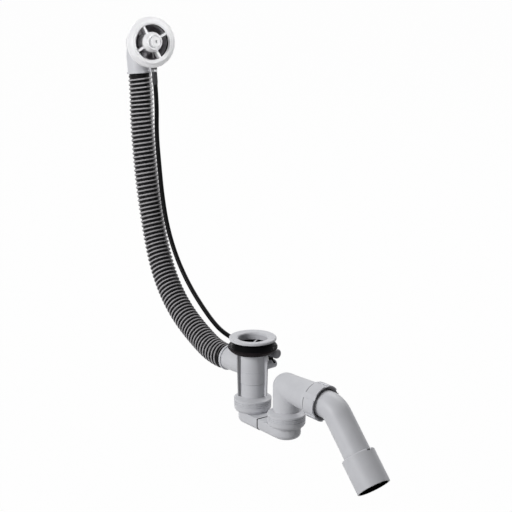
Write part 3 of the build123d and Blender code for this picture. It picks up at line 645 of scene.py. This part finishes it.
hoseSetup = {
    "start": (-55.3, 0.0, -41.9),
    "firstRun": 25.0,
    "route": [
        (-125.0, 7.0, -27.5), (-170.0, 13.3, -6.2), (-206.0, 19.5, 20.5), (-234.5, 25.5, 53.0),
        (-256.5, 32.0, 91.0), (-271.0, 35.3, 132.0), (-284.0, 38.0, 181.0), (-295.5, 41.9, 232.0),
        (-305.0, 46.2, 280.0),
    ],
    "lastRun": 30.0,
    "end": (-315.5, 52.6, 349.5),
    "length": 521.6,
    "ridge": 19.2,
    "groove": 16.8,
    "inside": 13.4,
    "waves": 78,
    "stepsPerWave": 12,
    "insideSteps": 2,
    "sharpness": 1.2,
    "cuff": 14.0,
    "cuffRadius": 13.0,
    "cuffInside": 11.5,
    "sides": 56,
    "weldGap": 0.0001,
    # the direction whose side of the hose gets a painted sheen
    "sheenSide": (0.85, 0.53, 0.15),
}


def hoseOutline(length):
    # half section of the straight hose along X, still without its waves
    s = hoseSetup
    cuff = s["cuff"] * mm
    rings = s["waves"] * s["stepsPerWave"]
    outline = [(-cuff, s["cuffRadius"] * mm), (0.0, s["cuffRadius"] * mm)]
    outline += [(length * i / rings, s["groove"] * mm) for i in range(rings + 1)]
    outline += [(length, s["cuffRadius"] * mm), (length + cuff, s["cuffRadius"] * mm)]
    outline.append((length + cuff, s["cuffInside"] * mm))
    steps = s["waves"] * s["insideSteps"]
    outline += [(length * i / steps, s["inside"] * mm) for i in range(steps, -1, -1)]
    outline.append((-cuff, s["cuffInside"] * mm))
    return outline


def sortFaces(bm):
    # spin leaves its faces in another order each run, so they are put in the order of their points
    bm.verts.index_update()
    count = len(bm.verts)
    bm.faces.sort(key=lambda f: min(v.index for v in f.verts) * count + max(v.index for v in f.verts))


def raiseWaves(bm, length):
    # one spiral wave along the outside, flat at both ends; its height from 0 to 1 is kept for the colour
    s = hoseSetup
    pitch = length / s["waves"]
    midWall = (s["inside"] + s["groove"]) / 2 * mm
    layer = bm.verts.layers.float.new("wave")
    for v in bm.verts:
        if v.co.yz.length > midWall:
            phase = 2 * pi * v.co.x / pitch - atan2(v.co.z, v.co.y)
            fade = min(1.0, v.co.x / pitch, (length - v.co.x) / pitch)
            v[layer] = fade * (0.5 - 0.5 * cos(phase)) ** s["sharpness"]
            grown = 1.0 + (s["ridge"] / s["groove"] - 1.0) * v[layer]
            v.co.y *= grown
            v.co.z *= grown


def markSideSheen(straight, bent):
    # how far each point of the bent hose faces the side that gets the painted sheen
    side = Vector(hoseSetup["sheenSide"]).normalized()
    sideSheen = bent.attributes.new("sideSheen", "FLOAT", "POINT")
    rings = {}
    for v in straight.vertices:
        rings.setdefault(round(v.co.x / mm, 3), []).append(v.index)
    for ring in rings.values():
        middle = sum((bent.vertices[i].co for i in ring), Vector()) / len(ring)
        for i in ring:
            away = (bent.vertices[i].co - middle).normalized()
            sideSheen.data[i].value = max(0.0, away.dot(side))


def makeHose():
    s = hoseSetup
    start = Vector(s["start"]) * mm
    end = Vector(s["end"]) * mm
    points = [start, start - Vector((s["firstRun"] * mm, 0.0, 0.0)), *metres(s["route"]),
              end - overflowUp * s["lastRun"] * mm, end]
    line = routeCurve("hoseLine", points)
    spots = linePoints(line)
    length = sum((b - a).length for a, b in zip(spots, spots[1:]))
    bm = bmesh.new()
    verts = [bm.verts.new((x, 0.0, r)) for x, r in hoseOutline(length)]
    edges = [bm.edges.new((a, b)) for a, b in zip(verts, verts[1:] + verts[:1])]
    bmesh.ops.spin(bm, geom=verts + edges, cent=(0, 0, 0), axis=(1, 0, 0), dvec=(0, 0, 0),
                   angle=2 * pi, steps=s["sides"], use_merge=True)
    bmesh.ops.remove_doubles(bm, verts=bm.verts, dist=s["weldGap"] * mm)
    bmesh.ops.recalc_face_normals(bm, faces=bm.faces)
    sortFaces(bm)
    raiseWaves(bm, length)
    straight = finishMesh(bm, "straightHose")
    bend = straight.modifiers.new("bend", "CURVE")
    bend.object = line
    bend.deform_axis = "POS_X"
    hose = bpy.data.objects.new("corrugated_hose", evaluatedMesh(straight))
    markSideSheen(straight.data, hose.data)
    bpy.context.scene.collection.objects.link(hose)
    hose.data.materials.append(slotFinishes["hose_plastic"])
    bpy.data.objects.remove(straight)
    bpy.data.objects.remove(line)
    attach(hose, "root")
    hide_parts("overflow_hose")
    print("stage: hose", round(length, 4), "m,", len(hose.data.polygons), "faces")


cableSetup = {
    "firstRun": 30.0,
    "route": [
        (-274.0, 49.8, 262.0), (-265.5, 47.1, 214.0), (-255.5, 44.2, 163.0), (-240.5, 41.6, 115.0),
        (-217.5, 39.4, 73.0), (-187.5, 37.4, 37.0), (-153.5, 35.9, 7.5), (-120.0, 34.6, -15.5),
        (-92.5, 34.1, -25.0),
    ],
    "lastRun": 24.0,
    "length": 486.8,
    "radius": 3.5,
    "endMargin": 0.05,
}


def cableTop():
    # the middle of the ferrule's lower end
    spots = [v.co for v in nodes["cable_ferrule"].data.vertices]
    lowest = min(v.dot(overflowUp) for v in spots)
    end = [v for v in spots if v.dot(overflowUp) < lowest + cableSetup["endMargin"] * mm]
    return sum(end, Vector()) / len(end)


def makeCable():
    s = cableSetup
    wire = sum(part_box("pull_wire"), Vector()) / 2
    top = cableTop()
    low = Vector((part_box("cable_gland")[0].x, wire.y, wire.z))
    points = [top, top - overflowUp * s["firstRun"] * mm, *metres(s["route"]),
              low - Vector((s["lastRun"] * mm, 0.0, 0.0)), low]
    cable = routeCurve("outer_cable", points, s["radius"] * mm)
    cable.data.materials.append(slotFinishes["black_plastic"])
    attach(cable, "root")
    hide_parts("bowden_cable")
    print("stage: cable from", [round(c, 4) for c in top], "to", [round(c, 4) for c in low])


makeHose()
makeCable()

print("stage: done")
